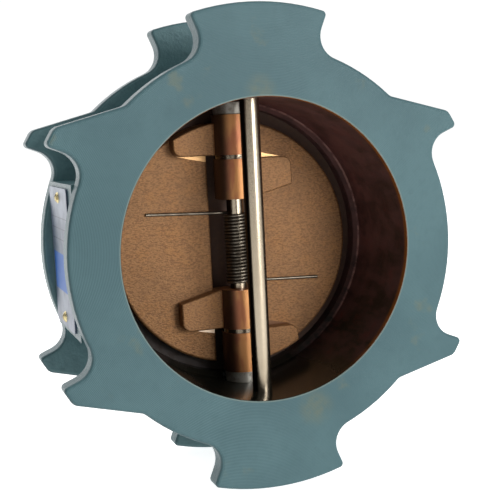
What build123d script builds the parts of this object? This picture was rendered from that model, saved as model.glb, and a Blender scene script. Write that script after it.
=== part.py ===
from build123d import *
import math
import os

# Dual-plate wafer check valve, NPS 6 (DN150), class 125.
# Row frame: origin on the flow axis half way between the two end faces.
# +Z runs up the pins, +Y points upstream (inlet), -Y is the outlet side.

# Flow passage and face to face
face_to_face = 95.0
bore_radius = 81.8
inlet_radius = 77.0
port_radius = 67.0
seat_bore_radius = 79.0

# Flanged ends
flange_thickness = 13.0
rim_radius = 109.0
lobe_radius = 131.0
slot_radius = 12.4
slot_count = 8
ear_outer_angle = 32.4
ear_foot_angle = 46.9
lobe_tip_fillet = 2.4
ear_tip_fillet = 2.4
ear_ramp_fillet = 5.5
ear_foot_fillet = 6.0
flange_edge_fillet = 1.9
bore_chamfer = 0.4

# Barrel between the flanges
barrel_radius = 94.0
barrel_root_fillet = 5.0
pin_boss_half_width = 17.0
pin_boss_height = 101.0
plate_pad_x = -102.5
plate_pad_half_height = 41.0

# Depth of each feature along the flow
outlet_y = -face_to_face / 2
inlet_y = face_to_face / 2
stop_pin_y = -23.0
hinge_y = 9.5
plate_front_y = 15.5
plate_thickness = 8.9
seat_gap = 0.1
seat_thickness = 3.0
seat_front_y = plate_front_y + plate_thickness + seat_gap
land_y = seat_front_y + seat_thickness
shoulder_y = 14.0

# Pins and their holes
hinge_pin_radius = 5.0
stop_pin_radius = 5.4
pin_clearance = 0.05
pin_half_length = 89.6
spot_face_radius = 13.0
spot_face_z = 83.0

# Centre post that carries the straight edges of the seat
post_half_width = 18.0
post_nose_radius = 6.0
post_nose_y = inlet_y - 3.0

# Plates and knuckles
plate_radius = 72.0
plate_edge_x = 14.0
plate_edge_fillet = 1.5
knuckle_radius = 11.5
knuckle_length = 23.0
knuckle_bore_clearance = 0.1
knuckle_gap = 2.5
inner_gap_half = 26.5
lug_length = 36.0
lug_rise = 2.0
lug_corner = 5.5
lug_slope = 0.26
lug_edge_fillet = 1.0
relief_depth = 0.4
relief_width = 4.0
relief_length = 18.0

# Small parts on the hinge pin
spacer_radius = 10.3
spacer_length = 7.1
washer_radius = 10.8
washer_thickness = 2.2
stack_drop = 0.9
spring_wire_radius = 0.9
spring_outer_radius = 7.1
spring_inner_radius = 5.3
spring_length = 43.0
spring_drop = 3.6
spring_leg_length = 52.5
spring_leg_rise = 2.0

# Threaded plugs that close the pin holes
plug_thread_radius = 8.0
plug_depth = 10.6
plug_head_flat = 17.0
plug_head_height = 6.0
plug_socket_flat = 8.0
plug_socket_depth = 4.5
gasket_thickness = 1.5
gasket_radius = 10.2

# Nameplate and its drive screws
nameplate_width = 56.0
nameplate_height = 77.0
nameplate_thickness = 1.0
nameplate_y = 5.0
nameplate_corner = 3.0
screw_pitch_z = 33.0
screw_shank_radius = 1.4
screw_head_radius = 3.2
screw_head_height = 1.7
screw_length = 6.0
screw_slot_width = 0.9
screw_slot_depth = 0.9
screw_slot_turn = 35.0


def polar(radius, degrees):
    angle = math.radians(degrees)
    return (radius * math.cos(angle), radius * math.sin(angle))


def upright(sketch):
    """Stand a sketch drawn in X and Y up into the X and Z plane, at Y = 0."""
    return Plane(origin=(0, 0, 0), x_dir=(1, 0, 0), z_dir=(0, -1, 0)) * sketch


def slab(sketch, y_low, y_high):
    """Extrude a sketch drawn in X and Z between two depths along Y."""
    face = Pos(0, y_high, 0) * upright(sketch)
    return extrude(face, y_high - y_low)


def tube_z(outer, inner, low, high, x=0.0, y=0.0):
    middle = (low + high) / 2
    ring = Cylinder(outer, high - low)
    if inner > 0:
        ring -= Cylinder(inner, high - low + 2)
    return Pos(x, y, middle) * ring


def slot_edges(turn, wall):
    """Half of an open bolt slot: round bottom from the rim, then one straight wall out to a lobe or ear tip."""
    radial, across = Vector(*polar(1, turn)), Vector(*polar(1, turn + 90)) * wall
    centre = radial * (rim_radius + slot_radius)
    bottom, side = centre - radial * slot_radius, centre + across * slot_radius
    middle = centre + (across - radial).normalized() * slot_radius
    tip = radial * math.sqrt(lobe_radius ** 2 - slot_radius ** 2) + across * slot_radius
    return ThreePointArc(bottom, middle, side) + Line(side, tip), tip


def flange_quarter():
    """One quarter of the flange outline: rim, slot, ear, rim, slot and half of the lobe."""
    first, second = 180.0 / slot_count, 540.0 / slot_count
    ear_slot, ear_tip = slot_edges(first, 1)
    lobe_slot, lobe_tip = slot_edges(second, 1)
    ramp_tip, foot = polar(lobe_radius, ear_outer_angle), polar(rim_radius, ear_foot_angle)
    tip_angle = math.degrees(math.atan2(ear_tip.Y, ear_tip.X))
    lobe_angle = math.degrees(math.atan2(lobe_tip.Y, lobe_tip.X))
    edges = ThreePointArc((rim_radius, 0), polar(rim_radius, first / 2), polar(rim_radius, first))
    edges += ear_slot
    edges += ThreePointArc(ear_tip, polar(lobe_radius, (tip_angle + ear_outer_angle) / 2), ramp_tip)
    edges += Line(ramp_tip, foot)
    edges += ThreePointArc(foot, polar(rim_radius, (ear_foot_angle + second) / 2), polar(rim_radius, second))
    edges += lobe_slot
    edges += ThreePointArc(lobe_tip, polar(lobe_radius, (lobe_angle + 90) / 2), (0, lobe_radius))
    edges += Polyline((0, lobe_radius), (0, 0), (rim_radius, 0))
    face = make_face(edges)
    for corner, radius in ((lobe_tip, lobe_tip_fillet), (ear_tip, ear_tip_fillet),
                           (Vector(*ramp_tip), ear_ramp_fillet), (Vector(*foot), ear_foot_fillet)):
        face = fillet(min(face.vertices(), key=lambda v: (v.center() - corner).length), radius)
    return face


def flange_outline():
    half = flange_quarter() + mirror(flange_quarter(), Plane.YZ)
    return half + mirror(half, Plane.XZ)


def port_sketch(side):
    """D-shaped port on one side of the centre post."""
    cutter = Pos(side * (post_half_width + 50), 0) * Rectangle(100, 4 * port_radius)
    return Circle(port_radius) & cutter


def centre_post():
    """Streamlined upright post across the inlet, blunt at the seat and round at the nose."""
    nose = (0, post_nose_y)
    shoulder = (post_nose_radius, post_nose_y - post_nose_radius)
    foot = (post_half_width, land_y)
    edges = Polyline((-shoulder[0], shoulder[1]), (-foot[0], foot[1]), foot, shoulder)
    edges += ThreePointArc(shoulder, nose, (-shoulder[0], shoulder[1]))
    return extrude(make_face(edges), inlet_radius + 3, both=True)


def flow_passage():
    """Space cut out of the body from face to face, centre post left standing."""
    outlet = slab(Circle(bore_radius), outlet_y - 1, shoulder_y)
    step = slab(Circle(seat_bore_radius), shoulder_y - 1, land_y)
    taper = bore_radius - seat_bore_radius
    cone = Pos(0, shoulder_y + taper / 2, 0) * Rot(90, 0, 0) * Cone(seat_bore_radius, bore_radius, taper)
    inlet_depth = inlet_y - land_y
    inlet = Pos(0, land_y + inlet_depth / 2, 0) * Rot(90, 0, 0) * Cone(inlet_radius, port_radius, inlet_depth)
    return outlet + step + cone + (inlet - centre_post())


def barrel_root(side):
    """Cast fillet ring where the barrel meets a flange."""
    flange_y = inlet_y - flange_thickness
    outer, away = barrel_radius + barrel_root_fillet, flange_y - barrel_root_fillet
    middle = barrel_root_fillet * (1 - math.sqrt(0.5))
    edges = ThreePointArc((outer, flange_y), (barrel_radius + middle, flange_y - middle), (barrel_radius, away))
    edges += Polyline((barrel_radius, away), (barrel_radius - 2, away), (barrel_radius - 2, flange_y + 1),
                      (outer, flange_y + 1), (outer, flange_y))
    ring = revolve(make_face(edges), Axis.Y)
    return ring if side > 0 else mirror(ring, Plane.XZ)


def make_body():
    outline = flange_outline()
    outlet_flange = slab(outline, outlet_y, outlet_y + flange_thickness)
    inlet_flange = slab(outline, inlet_y - flange_thickness, inlet_y)
    flanges = outlet_flange + inlet_flange
    rim_edges = [e for e in flanges.edges() if abs(abs(e.center().Y) - inlet_y) < 0.01]
    rim_edges += [e for e in flanges.edges() if abs(abs(e.center().Y) - (inlet_y - flange_thickness)) < 0.01]
    flanges = fillet(rim_edges, flange_edge_fillet)
    gap = face_to_face - 2 * flange_thickness
    barrel = slab(Circle(barrel_radius), -gap / 2 - 1, gap / 2 + 1)
    boss = Box(2 * pin_boss_half_width, gap, 2 * pin_boss_height)
    pad = Pos(plate_pad_x / 2, 0, 0) * Box(-plate_pad_x, gap, 2 * plate_pad_half_height)
    body = flanges + barrel + boss + pad + barrel_root(1) + barrel_root(-1)
    body -= flow_passage()
    chamfer_y = outlet_y + bore_chamfer / 2
    body -= Pos(0, chamfer_y, 0) * Rot(90, 0, 0) * Cone(bore_radius, bore_radius + bore_chamfer, bore_chamfer)
    for pin_y, pin_radius in ((hinge_y, hinge_pin_radius), (stop_pin_y, stop_pin_radius)):
        body -= tube_z(pin_radius + pin_clearance, 0, -inlet_radius - 30, inlet_radius + 30, y=pin_y)
        for side in (1, -1):
            depth = pin_boss_height - plug_depth
            low, high = sorted((side * depth, side * (pin_boss_height + 1)))
            body -= tube_z(plug_thread_radius + pin_clearance, 0, low, high, y=pin_y)
    body -= tube_z(spot_face_radius, 0, -spot_face_z, spot_face_z, y=hinge_y)
    for side in (1, -1):
        hole = Pos(plate_pad_x, nameplate_y, side * screw_pitch_z) * Rot(0, 90, 0)
        body -= hole * Cylinder(screw_shank_radius, 2 * screw_length)
    return body


def make_seat():
    """Rubber seat bonded into the body: a ring with a bar along the centre post."""
    ring = Circle(seat_bore_radius) - port_sketch(1) - port_sketch(-1)
    return slab(ring, seat_front_y, land_y)


def lug_outline(low, outer):
    """Outline of a left-hand lug: straight machined lower edge, far edge trimmed to shape."""
    high = low + knuckle_length
    box = Pos(-lug_length / 2, (low + high) / 2) * Rectangle(lug_length, knuckle_length)
    box = fillet(box.vertices().sort_by(Axis.X)[:2], lug_corner)
    if outer:
        return box & Circle(plate_radius - lug_edge_fillet / 2)
    drop = lug_slope * (lug_length + 10 - knuckle_radius)
    wedge = Polyline(
        (-knuckle_radius, high), (-lug_length - 10, high - drop),
        (-lug_length - 10, high + 5), (-knuckle_radius, high + 5), (-knuckle_radius, high))
    return box - make_face(wedge)


def relief(low):
    """Shallow machined wedge beside a lug's straight edge, clear of the other plate's knuckle."""
    start_x = -plate_edge_x
    wedge = Polyline(
        (start_x, low + 0.5), (start_x - relief_length, low + 0.5), (start_x - relief_length, low),
        (start_x, low - relief_width), (start_x, low + 0.5))
    return slab(make_face(wedge), plate_front_y - 5, plate_front_y + relief_depth)


def make_left_plate():
    """One D-shaped plate with two lugs, in closed position. The other plate is its twin."""
    keep = Pos(-plate_edge_x - 50, 0) * Rectangle(100, 4 * plate_radius)
    disc = slab(Circle(plate_radius) & keep, plate_front_y, plate_front_y + plate_thickness)
    front_edges = disc.faces().sort_by(Axis.Y)[0].edges()
    disc = fillet(front_edges, plate_edge_fillet)
    outer_low = inner_gap_half + knuckle_length + knuckle_gap
    inner_low = -inner_gap_half - knuckle_length
    lug_front_y = hinge_y - lug_rise
    plate = disc
    for low, outer in ((outer_low, True), (inner_low, False)):
        plate -= relief(low)
    for low, outer in ((outer_low, True), (inner_low, False)):
        lug = slab(lug_outline(low, outer), lug_front_y, plate_front_y + plate_thickness / 2)
        top = lug.faces().sort_by(Axis.Y)[0]
        rim = [e for e in top.edges() if e.center().X < -1]
        lug = fillet(rim, lug_edge_fillet)
        knuckle = tube_z(knuckle_radius, 0, low, low + knuckle_length, y=hinge_y)
        plate += lug + knuckle
    reach = plate_radius + 10
    bore = hinge_pin_radius + knuckle_bore_clearance
    plate -= tube_z(bore, 0, -reach, reach, y=hinge_y)
    return Pos(0, 0, -stack_drop) * plate


def make_right_plate():
    """The same casting as the left plate, turned half a turn about the flow axis."""
    centred = Pos(0, 0, stack_drop) * make_left_plate()
    return Pos(0, 0, -stack_drop) * (Rot(0, 180, 0) * centred)


def make_pin(radius, pin_y):
    pin = tube_z(radius, 0, -pin_half_length, pin_half_length, y=pin_y)
    return chamfer(pin.edges().filter_by(GeomType.CIRCLE), 0.8)


def make_spacer(side):
    """Spacer between the bore wall and the outermost knuckle, resting at its lower end."""
    stack_half = inner_gap_half + 2 * knuckle_length + knuckle_gap
    low = stack_half - stack_drop if side > 0 else -stack_half - stack_drop - spacer_length
    ring = tube_z(spacer_radius, hinge_pin_radius + knuckle_bore_clearance, low, low + spacer_length, y=hinge_y)
    outer = ring.edges().filter_by(GeomType.CIRCLE).filter_by(lambda e: e.radius > spacer_radius - 0.1)
    return chamfer(outer, 0.4)


def make_washer(side):
    """Thin washer between the knuckles of the two plates."""
    play = (knuckle_gap - washer_thickness) / 2
    low = inner_gap_half + knuckle_length + play
    if side < 0:
        low = -low - washer_thickness
    low -= stack_drop
    bore = hinge_pin_radius + knuckle_bore_clearance
    return tube_z(washer_radius, bore, low, low + washer_thickness, y=hinge_y)


def make_spring():
    """Torsion spring: outer shape of the close coil, with one leg lying on each plate."""
    middle = -spring_drop
    coil = tube_z(spring_outer_radius, spring_inner_radius, middle - spring_length / 2,
                  middle + spring_length / 2, y=hinge_y)
    leg_y = plate_front_y - spring_wire_radius - 0.15
    spring = coil
    for side in (1, -1):
        start = Vector(0, spring_outer_radius - spring_wire_radius + hinge_y, 0)
        root = Vector(0, min(start.Y, leg_y), middle + side * (spring_length / 2 - spring_wire_radius))
        tip = Vector(-side * spring_leg_length, leg_y, root.Z + side * spring_leg_rise)
        path = Line(root, tip)
        spring += sweep(Plane(origin=root, z_dir=path % 0) * Circle(spring_wire_radius), path)
    hollow = tube_z(spring_inner_radius, 0, -100, 100, y=hinge_y)
    return spring - hollow


def make_plug(pin_y, side):
    """Hexagon-headed plug with a square socket, screwed in over the end of a pin."""
    seat = pin_boss_height + gasket_thickness
    shank = tube_z(plug_thread_radius, 0, pin_boss_height - plug_depth + 0.6, seat)
    head_sketch = RegularPolygon(plug_head_flat / 2, 6, major_radius=False)
    head = Pos(0, 0, seat) * extrude(head_sketch, plug_head_height)
    socket = Pos(0, 0, seat + plug_head_height - plug_socket_depth)
    head -= socket * extrude(Rectangle(plug_socket_flat, plug_socket_flat), plug_socket_depth)
    plug = Pos(0, pin_y, 0) * (shank + head)
    return plug if side > 0 else mirror(plug, Plane.XY)


def make_gasket(pin_y, side):
    low, high = pin_boss_height, pin_boss_height + gasket_thickness
    ring = tube_z(gasket_radius, plug_thread_radius + 0.1, low, high, y=pin_y)
    return ring if side > 0 else mirror(ring, Plane.XY)


def make_nameplate():
    """Blank data plate on the flat pad of the barrel."""
    sheet = Box(nameplate_thickness, nameplate_width, nameplate_height)
    sheet = fillet(sheet.edges().filter_by(Axis.X), nameplate_corner)
    for side in (1, -1):
        sheet -= Pos(0, 0, side * screw_pitch_z) * Rot(0, 90, 0) * Cylinder(screw_shank_radius + 0.1, 10)
    return Pos(plate_pad_x - nameplate_thickness / 2, nameplate_y, 0) * sheet


def make_screw(side):
    """Round-headed drive screw holding one end of the nameplate."""
    head_x = plate_pad_x - nameplate_thickness
    sphere_radius = (screw_head_radius ** 2 + screw_head_height ** 2) / (2 * screw_head_height)
    dome = Pos(sphere_radius - screw_head_height, 0, 0) * Sphere(sphere_radius)
    dome &= Pos(-10, 0, 0) * Box(20, 20, 20)
    shank_length = screw_length + nameplate_thickness
    slot = Box(2 * screw_slot_depth, screw_slot_width, 3 * screw_head_radius)
    dome -= Rot(screw_slot_turn, 0, 0) * (Pos(-screw_head_height, 0, 0) * slot)
    shank = Pos(shank_length / 2, 0, 0) * Rot(0, 90, 0) * Cylinder(screw_shank_radius - 0.05, shank_length)
    return Pos(head_x, nameplate_y, side * screw_pitch_z) * (dome + shank)


def build_all():
    parts = {
        "body": make_body(),
        "seat_ring": make_seat(),
        "left_plate": make_left_plate(),
        "right_plate": make_right_plate(),
        "hinge_pin": make_pin(hinge_pin_radius, hinge_y),
        "stop_pin": make_pin(stop_pin_radius, stop_pin_y),
        "torsion_spring": make_spring(),
        "nameplate": make_nameplate(),
    }
    for word, side in (("upper", 1), ("lower", -1)):
        parts[f"{word}_hinge_spacer"] = make_spacer(side)
        parts[f"{word}_knuckle_washer"] = make_washer(side)
        parts[f"{word}_nameplate_screw"] = make_screw(side)
        for pin_name, pin_y in (("hinge", hinge_y), ("stop", stop_pin_y)):
            parts[f"{word}_{pin_name}_plug"] = make_plug(pin_y, side)
            parts[f"{word}_{pin_name}_plug_gasket"] = make_gasket(pin_y, side)
    return parts


os.makedirs("parts", exist_ok=True)
for name, shape in build_all().items():
    export_step(shape, f"parts/{name}.step")
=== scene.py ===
import math

import bpy
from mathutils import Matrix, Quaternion, Vector


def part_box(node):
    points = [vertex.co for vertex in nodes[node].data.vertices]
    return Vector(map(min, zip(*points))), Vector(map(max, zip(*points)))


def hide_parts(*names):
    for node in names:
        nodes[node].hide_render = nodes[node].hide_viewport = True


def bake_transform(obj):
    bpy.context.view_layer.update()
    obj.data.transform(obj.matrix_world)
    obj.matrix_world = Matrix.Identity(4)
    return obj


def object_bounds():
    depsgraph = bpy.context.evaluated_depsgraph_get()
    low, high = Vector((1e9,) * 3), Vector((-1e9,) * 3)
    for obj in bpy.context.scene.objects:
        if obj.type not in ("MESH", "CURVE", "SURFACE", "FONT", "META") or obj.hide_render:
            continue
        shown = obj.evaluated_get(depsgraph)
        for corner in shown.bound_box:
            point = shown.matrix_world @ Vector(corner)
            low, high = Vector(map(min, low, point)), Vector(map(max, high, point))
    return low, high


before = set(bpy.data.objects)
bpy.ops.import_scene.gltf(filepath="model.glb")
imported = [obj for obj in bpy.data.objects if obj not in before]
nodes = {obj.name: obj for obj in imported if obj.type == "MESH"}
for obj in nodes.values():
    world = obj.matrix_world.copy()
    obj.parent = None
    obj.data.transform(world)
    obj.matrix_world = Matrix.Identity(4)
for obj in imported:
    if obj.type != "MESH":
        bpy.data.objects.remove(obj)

mm = 0.001
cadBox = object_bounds()
print("frame loaded:", len(nodes), "nodes")


def put(tree, kind, sockets=None, **settings):
    node = tree.nodes.new(kind)
    for key, value in settings.items():
        setattr(node, key, value)
    for key, value in (sockets or {}).items():
        if isinstance(value, bpy.types.NodeSocket):
            tree.links.new(value, node.inputs[key])
        else:
            node.inputs[key].default_value = value
    return node


def tone(red, green, blue):  # screen colour to linear light
    def linear(value):
        value /= 255
        return value / 12.92 if value <= 0.04045 else ((value + 0.055) / 1.055) ** 2.4
    return (linear(red), linear(green), linear(blue), 1)


def calc(tree, operation, first, second=0.0):
    return put(tree, "ShaderNodeMath", {0: first, 1: second}, operation=operation).outputs[0]


def times(tree, first, second):
    return calc(tree, "MULTIPLY", first, second)


def minus(tree, first, second):
    return calc(tree, "SUBTRACT", first, second)


def plus(tree, first, second):
    return calc(tree, "ADD", first, second)


def ease(tree, value, low, high, start=0.0, end=1.0):  # smooth step from start at low to end at high
    sockets = {0: value, 1: low, 2: high, 3: start, 4: end}
    return put(tree, "ShaderNodeMapRange", sockets, interpolation_type="SMOOTHSTEP").outputs[0]


def mixTone(tree, factor, first, second, mode="MIX"):
    sockets = {0: factor, 6: first, 7: second}
    return put(tree, "ShaderNodeMix", sockets, data_type="RGBA", blend_type=mode).outputs[2]


def mixValue(tree, factor, first, second):
    return put(tree, "ShaderNodeMix", {0: factor, 2: first, 3: second}, data_type="FLOAT").outputs[0]


def stretch(tree, coords, x, y, z):
    return put(tree, "ShaderNodeMapping", {0: coords, 3: (x, y, z)}).outputs[0]


def cloud(tree, coords, size, detail=4.0, roughness=0.55):
    sockets = {"Vector": coords, "Scale": 1 / size, "Detail": detail, "Roughness": roughness}
    return put(tree, "ShaderNodeTexNoise", sockets).outputs[0]


def split(tree, vector):
    return put(tree, "ShaderNodeSeparateXYZ", {0: vector}).outputs


def distance(tree, first, second):  # length of two components taken together
    flat = put(tree, "ShaderNodeCombineXYZ", {0: first, 1: second}).outputs[0]
    return put(tree, "ShaderNodeVectorMath", {0: flat}, operation="LENGTH").outputs["Value"]


def grooves(tree, value, pitch):  # 0 to 1 and back once per pitch
    wave = calc(tree, "SINE", times(tree, value, 2 * math.pi / pitch))
    return ease(tree, wave, -1.0, 1.0)


def relief(tree, height, depth, normal=None):
    sockets = {"Height": height, "Distance": depth, "Strength": 1.0}
    if normal is not None:
        sockets["Normal"] = normal
    return put(tree, "ShaderNodeBump", sockets).outputs[0]


shadeSide = (-0.94, 0.34)  # across and along the flow: the side of pins and knuckles that carries painted shade


def shadeFacing(tree, normal):
    across, along, up = split(tree, normal)
    return plus(tree, times(tree, along, shadeSide[1]), times(tree, across, shadeSide[0]))


def newFinish(name, metallic=0.0):
    material = bpy.data.materials.new(name)
    material.use_nodes = True
    tree = material.node_tree
    shader = tree.nodes["Principled BSDF"]
    shader.inputs["Metallic"].default_value = metallic
    place = put(tree, "ShaderNodeTexCoord")
    return material, tree, shader, place.outputs


def feed(tree, shader, colour, roughness, normal):
    tree.links.new(colour, shader.inputs["Base Color"])
    tree.links.new(roughness, shader.inputs["Roughness"])
    tree.links.new(normal, shader.inputs["Normal"])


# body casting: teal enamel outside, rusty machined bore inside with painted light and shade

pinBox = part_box("hinge_pin")
hingeY = (pinBox[0][1] + pinBox[1][1]) / 2
bodyLook = {
    "enamel": tone(84, 116, 122), "enamelDeep": tone(72, 101, 106), "enamelPale": tone(94, 126, 130),
    "paintedGapLight": tone(120, 156, 160), "paleLip": tone(128, 146, 140), "stain": tone(120, 124, 98), "gloss": 0.2,
    "oxide": tone(74, 50, 47), "darkOxideAndShade": tone(20, 20, 16), "paintedLitOxide": tone(120, 80, 76),
    "rust": tone(96, 38, 34), "rustEdge": tone(150, 88, 34), "shoulder": tone(160, 120, 112),
    "paintedLowShade": tone(22, 23, 18),
    "spots": ((-2 * mm, 85 * mm, 11 * mm), (22 * mm, -89 * mm, 13 * mm)),
    "serration": 0.8 * mm, "serrationDepth": 0.05 * mm, "castGrain": 1.6 * mm, "castDepth": 0.35 * mm,
    "faceY": cadBox[1][1] - 0.1 * mm, "innerFaceY": cadBox[1][1] - 13 * mm, "shoulderY": 14.2 * mm,
    "boreRadius": 81.8 * mm, "spotFaceY": 43 * mm, "spotFaceDepth": 2.0 * mm,
    "pale": 105 * mm, "dark": -110 * mm,  # how far up and right the bore carries painted light, and painted shade the other way
}


def bodyFinish(look):
    material, tree, shader, place = newFinish("enamelledIron")
    coords = place["Object"]
    shader.inputs["Specular IOR Level"].default_value = look["gloss"]
    x, y, z = split(tree, coords)
    radius = distance(tree, x, z)
    depth = calc(tree, "ABSOLUTE", y)
    machined = ease(tree, depth, look["faceY"] - 0.1 * mm, look["faceY"])
    nearRim = ease(tree, depth, look["spotFaceY"], look["spotFaceY"] + mm)
    reach = mixValue(tree, nearRim, look["spotFaceDepth"], 0.1 * mm)  # spot faces are bare too
    beyond = minus(tree, minus(tree, radius, look["boreRadius"]), reach)
    inside = ease(tree, beyond, 0.0, 0.1 * mm, 1.0, 0.0)

    broad = cloud(tree, coords, 70 * mm, 3)
    fine = cloud(tree, coords, 6 * mm, 5)
    enamel = mixTone(tree, ease(tree, broad, 0.35, 0.65), look["enamelDeep"], look["enamelPale"])
    enamel = mixTone(tree, 0.5, enamel, look["enamel"])
    enamel = mixTone(tree, ease(tree, fine, 0.45, 0.75, 0.0, 0.25), enamel, look["enamelDeep"])
    blot = times(tree, ease(tree, cloud(tree, coords, 26 * mm, 4, 0.6), 0.60, 0.72), machined)
    enamel = mixTone(tree, times(tree, blot, 0.45), enamel, look["stain"])
    outletSide = ease(tree, y, -mm, mm, 0.5, 0.0)
    for spotX, spotZ, spread in look["spots"]:  # two olive stains painted beside the outlet bore
        away = distance(tree, minus(tree, x, spotX), minus(tree, z, spotZ))
        stainAndShade = ease(tree, away, 0.2 * spread, spread, 1.0, 0.0)
        stainAndShade = times(tree, stainAndShade, ease(tree, fine, 0.3, 0.6, 0.3, 1.0))
        enamel = mixTone(tree, times(tree, stainAndShade, outletSide), enamel, look["stain"])
    speck = ease(tree, cloud(tree, coords, 3.2 * mm, 2), 0.70, 0.76, 0.0, 0.35)
    enamel = mixTone(tree, speck, enamel, look["enamelDeep"])
    rings = times(tree, grooves(tree, radius, look["serration"]), machined)
    enamel = mixTone(tree, times(tree, rings, 0.16), enamel, look["enamelPale"])
    # a thin paler ring on the face at the bore's edge
    lip = ease(tree, radius, look["boreRadius"] + 0.4 * mm, look["boreRadius"] + 1.2 * mm, 0.8, 0.0)
    enamel = mixTone(tree, lip, enamel, look["paleLip"])

    # inner flange faces carry painted light: paler paint to lift the dim gap between them
    innerFace = calc(tree, "ABSOLUTE", minus(tree, depth, look["innerFaceY"]))
    innerFace = ease(tree, innerFace, 0.1 * mm, 0.4 * mm, 0.7, 0.0)
    innerFace = times(tree, innerFace, ease(tree, fine, 0.3, 0.6, 0.6, 1.0))
    enamel = mixTone(tree, innerFace, enamel, look["paintedGapLight"])

    streaks = cloud(tree, stretch(tree, coords, 1.0, 0.35, 1.0), 11 * mm, 6, 0.7)
    filmAndShading = mixTone(tree, ease(tree, streaks, 0.4, 0.6), look["darkOxideAndShade"], look["oxide"])
    rustSpread = cloud(tree, coords, 16 * mm, 5, 0.65)
    filmAndShading = mixTone(tree, ease(tree, rustSpread, 0.52, 0.72, 0.0, 0.6), filmAndShading, look["rust"])
    slant = plus(tree, x, z)  # the bore film carries painted light towards the upper right, painted shade the other way
    filmAndShading = mixTone(tree, ease(tree, slant, look["dark"], -10 * mm, 0.75, 0.0), filmAndShading, look["darkOxideAndShade"])
    paintedLight = ease(tree, slant, 0.0, look["pale"], 0.0, 0.9)
    paintedLight = times(tree, paintedLight, ease(tree, y, -40 * mm, 5 * mm, 0.5, 1.0))
    paintedLight = times(tree, paintedLight, ease(tree, cloud(tree, coords, 14 * mm, 4, 0.6), 0.35, 0.6, 0.45, 1.0))
    filmAndShading = mixTone(tree, paintedLight, filmAndShading, look["paintedLitOxide"])
    nearFace = ease(tree, depth, look["faceY"] - 4.5 * mm, look["faceY"] - 1.5 * mm)
    nearFace = times(tree, nearFace, ease(tree, slant, -60 * mm, 50 * mm, 0.05, 1.0))
    nearFace = times(tree, nearFace, ease(tree, fine, 0.25, 0.5, 0.3, 1.0))
    filmAndShading = mixTone(tree, nearFace, filmAndShading, look["rustEdge"])
    corner = calc(tree, "ABSOLUTE", minus(tree, y, look["shoulderY"]))
    # painted highlight along the shoulder corner, towards the upper right
    shoulderHighlight = times(tree, ease(tree, corner, 0.3 * mm, 0.9 * mm, 1.0, 0.0), ease(tree, streaks, 0.4, 0.6))
    shoulderHighlight = times(tree, shoulderHighlight, ease(tree, slant, -20 * mm, 60 * mm))
    bottomShadeAndGloss = ease(tree, z, -78 * mm, -62 * mm, 0.9, 0.0)  # painted shade in the bottom of the bore, which is also made glossy there; both are guessed
    filmAndShading = mixTone(tree, bottomShadeAndGloss, filmAndShading, look["paintedLowShade"])
    # painted shade on the bore wall deeper than the shoulder
    shadeBehindShoulder = ease(tree, y, look["shoulderY"], look["shoulderY"] + 1 * mm, 0.0, 0.25)
    filmAndShading = mixTone(tree, shadeBehindShoulder, filmAndShading, look["darkOxideAndShade"])
    filmAndShading = mixTone(tree, shoulderHighlight, filmAndShading, look["shoulder"])

    colour = mixTone(tree, inside, enamel, filmAndShading)
    paintRough = mixValue(tree, machined, 0.34, 0.42)
    wallRough = mixValue(tree, bottomShadeAndGloss, mixValue(tree, ease(tree, streaks, 0.3, 0.7), 0.38, 0.62), 0.16)
    roughness = mixValue(tree, inside, paintRough, wallRough)
    rough = times(tree, minus(tree, 1.0, machined), minus(tree, 1.0, inside))
    cast = times(tree, cloud(tree, coords, look["castGrain"], 3, 0.5), rough)
    wallAboveBottom = times(tree, inside, minus(tree, 1.0, bottomShadeAndGloss))
    turned = times(tree, grooves(tree, y, 0.6 * mm), wallAboveBottom)
    shape = put(tree, "ShaderNodeNewGeometry").outputs
    sockets = {0: machined, 4: shape["Normal"], 5: shape["True Normal"]}
    level = put(tree, "ShaderNodeMix", sockets, data_type="VECTOR").outputs[1]
    bumps = relief(tree, cast, look["castDepth"], level)
    bumps = relief(tree, rings, look["serrationDepth"], bumps)
    bumps = relief(tree, turned, 0.02 * mm, bumps)
    bumps = relief(tree, times(tree, rustSpread, wallAboveBottom), 0.5 * mm, bumps)
    feed(tree, shader, colour, roughness, bumps)
    return material


# bronze plates: sand-cast face, turned knuckles, bright machined reliefs with painted highlight and shade

bronzeLook = {
    "cast": tone(154, 112, 72), "castWarm": tone(160, 113, 67), "castDull": tone(142, 104, 68),
    "pitAndShade": tone(104, 70, 44), "turned": tone(198, 138, 82), "turnedRed": tone(168, 102, 68),
    "filmAndShading": tone(44, 30, 24), "bright": tone(190, 146, 94), "reliefHighlight": tone(255, 226, 196),
    "grain": 0.95 * mm, "grainDepth": 0.36 * mm, "knuckleRadius": 11.5 * mm,
    "reliefFrom": 15.7 * mm, "reliefTo": 16.2 * mm,
}


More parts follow.
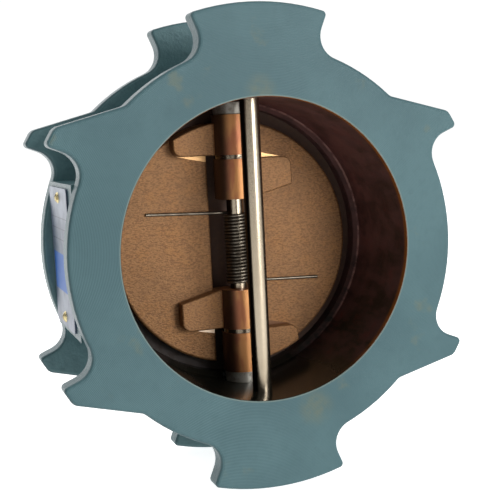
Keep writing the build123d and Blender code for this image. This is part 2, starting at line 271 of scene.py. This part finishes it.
def bronzeFinish(look):
    material, tree, shader, place = newFinish("castBronze", metallic=0.5)
    coords, normal = place["Object"], place["Normal"]
    x, y, z = split(tree, coords)
    fromHinge = distance(tree, x, minus(tree, y, hingeY))
    knuckle = look["knuckleRadius"]
    turned = ease(tree, fromHinge, knuckle + 0.05 * mm, knuckle + 0.3 * mm, 1.0, 0.0)
    facing = split(tree, normal)[1]
    flat = ease(tree, facing, -0.99, -0.97, 1.0, 0.0)
    low = ease(tree, y, look["reliefFrom"], look["reliefFrom"] + 0.1 * mm)
    high = ease(tree, y, look["reliefTo"], look["reliefTo"] + 0.1 * mm, 1.0, 0.0)
    cut = times(tree, flat, times(tree, low, high))

    ripple = cloud(tree, stretch(tree, coords, 0.6, 1.0, 1.3), look["grain"], 3, 0.5)
    sand = cloud(tree, coords, 0.7 * mm, 2, 0.5)
    broad = cloud(tree, coords, 30 * mm, 4, 0.55)
    metal = mixTone(tree, ease(tree, broad, 0.35, 0.65), look["castDull"], look["cast"])
    warm = ease(tree, cloud(tree, coords, 12 * mm, 3), 0.45, 0.7, 0.0, 0.6)
    metal = mixTone(tree, warm, metal, look["castWarm"])
    metal = mixTone(tree, ease(tree, ripple, 0.36, 0.58, 0.7, 0.0), metal, look["pitAndShade"])
    metal = mixTone(tree, ease(tree, sand, 0.54, 0.74, 0.0, 0.4), metal, look["bright"])
    blush = cloud(tree, stretch(tree, coords, 1.0, 1.0, 0.3), 8 * mm, 3)
    lathe = mixTone(tree, ease(tree, blush, 0.4, 0.62), look["turned"], look["turnedRed"])
    rings = grooves(tree, z, 0.45 * mm)
    lathe = mixTone(tree, times(tree, rings, 0.2), lathe, look["pitAndShade"])
    # painted shade on one side of the knuckles
    lathe = mixTone(tree, ease(tree, shadeFacing(tree, normal), 0.0, 0.5, 0.0, 0.85), lathe, look["filmAndShading"])
    colour = mixTone(tree, turned, metal, lathe)
    slant = plus(tree, x, z)  # painted by place: a painted highlight on the low left relief, painted shade on the low right one
    cutTone = mixTone(tree, ease(tree, slant, -5 * mm, 5 * mm, 1.0, 0.0), look["bright"], look["pitAndShade"])
    cutTone = mixTone(tree, ease(tree, slant, -62 * mm, -50 * mm, 1.0, 0.0), cutTone, look["reliefHighlight"])
    colour = mixTone(tree, cut, colour, cutTone)

    roughness = mixValue(tree, turned, mixValue(tree, ripple, 0.5, 0.66), 0.42)
    roughness = mixValue(tree, cut, roughness, 0.3)
    castShare = minus(tree, 1.0, calc(tree, "MAXIMUM", turned, cut))
    bumps = relief(tree, times(tree, ripple, castShare), look["grainDepth"])
    bumps = relief(tree, times(tree, sand, castShare), 0.08 * mm, bumps)
    bumps = relief(tree, times(tree, rings, turned), 0.02 * mm, bumps)
    feed(tree, shader, colour, roughness, bumps)
    return material


# plain metals: pins, washers, spacers, spring, plugs

metalLooks = {
    "groundSteel": {"base": tone(172, 159, 139), "dull": tone(160, 147, 126), "paintedShade": tone(26, 20, 13),
                    "pitch": 0.3 * mm, "depth": 0.004 * mm, "rough": (0.25, 0.29), "blot": 45 * mm,
                    "metal": 1.0},
    "washerSteel": {"base": tone(132, 120, 104), "dull": tone(64, 54, 44),
                    "pitch": 0.4 * mm, "depth": 0.01 * mm, "rough": (0.2, 0.35), "blot": 4 * mm,
                    "metal": 1.0},
    "springSteel": {"base": tone(120, 112, 100), "dull": tone(82, 74, 64),
                    "pitch": 1.1 * mm, "depth": 0.004 * mm, "rough": (0.36, 0.48), "blot": 6 * mm,
                    "metal": 1.0},
    "sawnSteel": {"base": tone(164, 160, 150), "dull": tone(120, 112, 100),
                  "pitch": 0.5 * mm, "depth": 0.01 * mm, "rough": (0.4, 0.55), "blot": 6 * mm, "metal": 0.5},
    "plugSteel": {"base": tone(142, 138, 130), "dull": tone(92, 80, 66),
                  "pitch": 0.7 * mm, "depth": 0.03 * mm, "rough": (0.35, 0.6), "blot": 5 * mm, "metal": 0.9},
    "screwBrass": {"base": tone(212, 198, 150), "dull": tone(140, 122, 82),
                   "pitch": 0.4 * mm, "depth": 0.02 * mm, "rough": (0.25, 0.45), "blot": 3 * mm,
                   "metal": 1.0},
}


def metalFinish(name):
    look = metalLooks[name]
    material, tree, shader, place = newFinish(name, metallic=look["metal"])
    coords, normal = place["Object"], place["Normal"]
    x, y, z = split(tree, coords)
    spread = cloud(tree, coords, look["blot"], 4, 0.6)
    tarnish = ease(tree, spread, 0.42, 0.7)
    rings = grooves(tree, z, look["pitch"])
    scratch = cloud(tree, stretch(tree, coords, 1.0, 1.0, 12.0), 2 * mm, 3)
    colour = mixTone(tree, tarnish, look["base"], look["dull"])
    colour = mixTone(tree, ease(tree, scratch, 0.5, 0.8, 0.0, 0.2), colour, look["dull"])
    # painted shade on one side of the pins
    if "paintedShade" in look:
        colour = mixTone(tree, ease(tree, shadeFacing(tree, normal), 0.35, 0.6, 0.0, 0.95), colour, look["paintedShade"])
    smooth, worn = look["rough"]
    roughness = mixValue(tree, tarnish, smooth, worn)
    bumps = relief(tree, plus(tree, rings, scratch), look["depth"])
    feed(tree, shader, colour, roughness, bumps)
    return material


# seat rubber and gasket fibre

softLooks = {
    "seatRubber": {"base": tone(84, 60, 46), "dust": tone(104, 76, 58), "paintedLowShade": tone(24, 19, 17),
                   "rough": (0.65, 0.85), "size": 4 * mm, "depth": 0.08 * mm},
    "gasketFibre": {"base": tone(84, 92, 82), "dust": tone(120, 122, 108), "paintedLowShade": tone(58, 64, 56),
                    "rough": (0.7, 0.9), "size": 1.2 * mm, "depth": 0.06 * mm},
}


def softFinish(name):
    look = softLooks[name]
    material, tree, shader, place = newFinish(name)
    coords = place["Object"]
    spread = cloud(tree, coords, look["size"], 5, 0.65)
    share = ease(tree, spread, 0.45, 0.75)
    x, y, z = split(tree, coords)
    colour = mixTone(tree, share, look["base"], look["dust"])
    # painted shade: darker low on the left
    stainAndShade = ease(tree, plus(tree, x, z), -75 * mm, -25 * mm, 0.85, 0.0)
    colour = mixTone(tree, stainAndShade, colour, look["paintedLowShade"])
    feed(tree, shader, colour, mixValue(tree, share, *look["rough"]), relief(tree, spread, look["depth"]))
    return material


# data plate: brushed aluminium with a plain blue panel

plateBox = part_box("nameplate")
plateLook = {
    "metal": tone(112, 124, 144), "smear": tone(84, 96, 114), "panel": tone(8, 92, 176),
    "ink": tone(40, 48, 62), "gloss": 0.2,
    "panelLow": -19 * mm, "panelHigh": 2 * mm, "ruleZ": (10 * mm, 16 * mm, 22 * mm), "margin": 3 * mm,
}


def plateFinish(look):
    material, tree, shader, place = newFinish("printedAluminium", metallic=0.3)
    coords = place["Object"]
    x, y, z = split(tree, coords)
    shader.inputs["Specular IOR Level"].default_value = look["gloss"]
    brush = cloud(tree, stretch(tree, coords, 1.0, 0.06, 1.0), 0.6 * mm, 3)
    smear = cloud(tree, coords, 14 * mm, 4)
    colour = mixTone(tree, ease(tree, smear, 0.4, 0.7), look["metal"], look["smear"])
    colour = mixTone(tree, times(tree, brush, 0.3), colour, look["smear"])
    middle = (plateBox[0][1] + plateBox[1][1]) / 2
    half = (plateBox[1][1] - plateBox[0][1]) / 2 - look["margin"]
    fromMiddle = calc(tree, "ABSOLUTE", minus(tree, y, middle))
    within = ease(tree, fromMiddle, half, half + 0.1 * mm, 1.0, 0.0)
    above = ease(tree, z, look["panelLow"], look["panelLow"] + 0.1 * mm)
    below = ease(tree, z, look["panelHigh"], look["panelHigh"] + 0.1 * mm, 1.0, 0.0)
    printed = times(tree, within, times(tree, above, below))
    colour = mixTone(tree, printed, colour, look["panel"])
    for height in look["ruleZ"]:  # thin ruled lines for hand entries, left blank
        off = calc(tree, "ABSOLUTE", minus(tree, z, height))
        line = times(tree, within, ease(tree, off, 0.15 * mm, 0.3 * mm, 1.0, 0.0))
        colour = mixTone(tree, line, colour, look["ink"])
    roughness = mixValue(tree, printed, mixValue(tree, smear, 0.25, 0.4), 0.42)
    feed(tree, shader, colour, roughness, relief(tree, brush, 0.02 * mm))
    return material


finishes = {
    "body": bodyFinish(bodyLook), "left_plate": bronzeFinish(bronzeLook),
    "seat_ring": softFinish("seatRubber"), "hinge_pin": metalFinish("groundSteel"),
    "nameplate": plateFinish(plateLook),
}
finishes["right_plate"] = finishes["left_plate"]
finishes["stop_pin"] = finishes["hinge_pin"]
washer, spacer, plug = metalFinish("washerSteel"), metalFinish("sawnSteel"), metalFinish("plugSteel")
screw, gasket = metalFinish("screwBrass"), softFinish("gasketFibre")
for word in ("upper", "lower"):
    finishes[word + "_knuckle_washer"] = washer
    finishes[word + "_hinge_spacer"] = spacer
    finishes[word + "_nameplate_screw"] = screw
    for hole in ("hinge", "stop"):
        finishes[word + "_" + hole + "_plug"] = plug
        finishes[word + "_" + hole + "_plug_gasket"] = gasket
for name, finish in finishes.items():
    for place in nodes[name].material_slots:
        place.material = finish
print("finishes on CAD nodes:", len(finishes))


# wound torsion spring: two halves, one running to each plate's leg

springWire = {
    "wireRadius": 0.9 * mm, "coilRadius": 6.2 * mm, "turns": 21, "hingeY": hingeY, "legY": 14.45 * mm,
    "topZ": 17.0 * mm, "bottomZ": -24.2 * mm, "legLength": 52.5 * mm, "legRise": 2.0 * mm,
    "bend": 1.7 * mm, "bendAngle": 13, "stepsPerTurn": 36, "sides": 12,
}


def springHalf(wire, side):  # side 1 runs up to the left plate's leg, -1 down to the right plate's
    rise = wire["topZ"] - wire["bottomZ"]
    legAngle = math.asin((wire["legY"] - wire["hingeY"]) / wire["coilRadius"])
    endAngle = math.pi - legAngle if side > 0 else legAngle
    sweep = 2 * math.pi * wire["turns"] + math.pi - 2 * legAngle
    endZ = wire["topZ"] if side > 0 else wire["bottomZ"]

    def onCoil(angle):  # angle measured back from this half's end
        turn = endAngle - side * angle
        height = endZ - side * rise * angle / sweep
        across, along = wire["coilRadius"] * math.cos(turn), wire["coilRadius"] * math.sin(turn)
        return Vector((across, wire["hingeY"] + along, height))

    bendAngle = math.radians(wire["bendAngle"])
    steps = int(wire["stepsPerTurn"] * sweep / 4 / math.pi)
    points = [onCoil(bendAngle + (sweep / 2 - bendAngle) * (1 - i / steps)) for i in range(steps + 1)]
    corner = onCoil(0)
    legTip = Vector((-side * wire["legLength"], wire["legY"], endZ + side * wire["legRise"]))
    along = (legTip - corner).normalized()
    bendEnd = corner + along * wire["bend"]
    for i in range(1, 9):  # rounded bend from coil to leg
        t = i / 8
        points.append((1 - t) ** 2 * points[steps] + 2 * t * (1 - t) * corner + t ** 2 * bendEnd)
    points += [bendEnd.lerp(legTip, i / 6) for i in range(1, 7)]
    return points


def wireTree(material):  # Geometry Nodes: a round wire along a path
    tree = bpy.data.node_groups.new("woundWire", "GeometryNodeTree")
    tree.interface.new_socket("Path", in_out="INPUT", socket_type="NodeSocketGeometry")
    tree.interface.new_socket("Wire Radius", in_out="INPUT", socket_type="NodeSocketFloat")
    tree.interface.new_socket("Sides", in_out="INPUT", socket_type="NodeSocketInt")
    tree.interface.new_socket("Wire", in_out="OUTPUT", socket_type="NodeSocketGeometry")
    entry, leave = put(tree, "NodeGroupInput"), put(tree, "NodeGroupOutput")
    ring = put(tree, "GeometryNodeCurvePrimitiveCircle", {0: entry.outputs[2], 4: entry.outputs[1]})
    skin = put(tree, "GeometryNodeCurveToMesh", {0: entry.outputs[0], 1: ring.outputs[0], "Fill Caps": True})
    smooth = put(tree, "GeometryNodeSetShadeSmooth", {0: skin.outputs[0]})
    real = put(tree, "GeometryNodeRealizeInstances", {0: smooth.outputs[0]})
    dress = put(tree, "GeometryNodeSetMaterial", {0: real.outputs[0], "Material": material})
    tree.links.new(dress.outputs[0], leave.inputs[0])
    return tree


def woundWire(name, points, wire, tree):
    path = bpy.data.curves.new(name + "Path", "CURVE")
    path.dimensions = "3D"
    line = path.splines.new("POLY")
    line.points.add(len(points) - 1)
    for point, place in zip(line.points, points):
        point.co = (*place, 1)
    guide = bpy.data.objects.new(name + "Path", path)
    bpy.context.scene.collection.objects.link(guide)
    modifier = guide.modifiers.new("wind", "NODES")
    modifier.node_group = tree
    sockets = {item.name: item.identifier for item in tree.interface.items_tree if item.in_out == "INPUT"}
    modifier[sockets["Wire Radius"]] = wire["wireRadius"]
    modifier[sockets["Sides"]] = wire["sides"]
    view = bpy.context.evaluated_depsgraph_get()
    mesh = bpy.data.meshes.new_from_object(guide.evaluated_get(view))
    mesh.name = name
    piece = bpy.data.objects.new(name, mesh)
    bpy.context.scene.collection.objects.link(piece)
    bpy.data.objects.remove(guide)
    return piece


springTree = wireTree(metalFinish("springSteel"))
for side, body, word in ((1, "left_leaf", "upper"), (-1, "right_leaf", "lower")):
    half = woundWire(word + "SpringHalf", springHalf(springWire, side), springWire, springTree)
    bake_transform(half)
    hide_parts("torsion_spring")
print("spring wound")


# pale floor, studio light and camera

stageLook = {
    "floorSize": 8.0, "floorTone": (0.85, 0.85, 0.85, 1), "floorGlow": 0.85, "backdrop": 1.05,
    "dim": 0.14, "right": 0.28, "below": 0.55, "behind": 0.36, "above": 0.3,  # room light by side
}


def paleFloor(look):
    half = look["floorSize"] / 2
    drop = cadBox[0][2]
    corners = [(-half, -half, drop), (half, -half, drop), (half, half, drop), (-half, half, drop)]
    mesh = bpy.data.meshes.new("floor")
    mesh.from_pydata(corners, [], [(0, 1, 2, 3)])
    floor = bpy.data.objects.new("floor", mesh)
    bpy.context.scene.collection.objects.link(floor)
    material, tree, shader, place = newFinish("paleFloor")
    shader.inputs["Base Color"].default_value = look["floorTone"]
    shader.inputs["Roughness"].default_value = 0.9
    shader.inputs["Emission Color"].default_value = (1, 1, 1, 1)
    shader.inputs["Emission Strength"].default_value = look["floorGlow"]
    mesh.materials.append(material)
    floor.visible_diffuse = False  # the room below lights the object instead


def studioWorld(look):
    world = bpy.data.worlds.new("studio")
    world.use_nodes = True
    tree = world.node_tree
    tree.nodes.clear()
    sight = put(tree, "ShaderNodeLightPath").outputs["Is Camera Ray"]
    x, y, z = split(tree, put(tree, "ShaderNodeTexCoord").outputs["Generated"])
    room = plus(tree, ease(tree, x, -0.1, 0.8, 0.0, look["right"]), look["dim"])
    room = plus(tree, room, ease(tree, z, -0.7, 0.1, look["below"], 0.0))
    room = plus(tree, room, ease(tree, y, 0.0, 0.6, 0.0, look["behind"]))
    room = plus(tree, room, ease(tree, z, 0.2, 0.9, 0.0, look["above"]))
    lit = put(tree, "ShaderNodeBackground", {0: (1, 1, 1, 1), 1: room})
    seen = put(tree, "ShaderNodeBackground", {0: (1, 1, 1, 1), 1: look["backdrop"]})
    both = put(tree, "ShaderNodeMixShader", {0: sight, 1: lit.outputs[0], 2: seen.outputs[0]})
    put(tree, "ShaderNodeOutputWorld", {0: both.outputs[0]})
    bpy.context.scene.world = world


softboxes = {  # place, aim, width, height, watts
    "frontRight": ((0.56, -1.26, 0.22), (0.0, 0.0, 0.0), 0.6, 0.5, 11.4),
    "backWall": ((-0.3, 1.6, 0.5), (0.0, 0.0, 0.1), 3.2, 1.6, 14),
    "topLeft": ((-0.9, 0.5, 1.0), (0.0, 0.0, 0.0), 0.9, 0.5, 2),
}


def softbox(name, place, aim, width, height, watts):
    lamp = bpy.data.lights.new(name, "AREA")
    lamp.shape, lamp.size, lamp.size_y, lamp.energy = "RECTANGLE", width, height, watts
    lampObject = bpy.data.objects.new(name, lamp)
    bpy.context.scene.collection.objects.link(lampObject)
    lampObject.location = place
    lampObject.rotation_euler = (Vector(aim) - Vector(place)).to_track_quat("-Z", "Y").to_euler()


cameraSetup = {
    "place": (-0.1881, -0.5443, 0.0630), "aim": (-0.0060, -0.0300, -0.0008), "roll": -2.76, "lens": 72,
}


def studioCamera(setup):
    lens = bpy.data.cameras.new("camera")
    lens.lens, lens.sensor_width, lens.clip_start = setup["lens"], 36, 0.01
    camera = bpy.data.objects.new("camera", lens)
    bpy.context.scene.collection.objects.link(camera)
    place = Vector(setup["place"])
    turn = (Vector(setup["aim"]) - place).to_track_quat("-Z", "Y")
    roll = Quaternion((0, 0, 1), math.radians(setup["roll"]))
    camera.location = place
    camera.rotation_euler = (turn @ roll).to_euler()
    bpy.context.scene.camera = camera


paleFloor(stageLook)
studioWorld(stageLook)
for name, settings in softboxes.items():
    softbox(name, *settings)
studioCamera(cameraSetup)
bpy.context.scene.view_settings.view_transform = "Standard"
print("stage set")
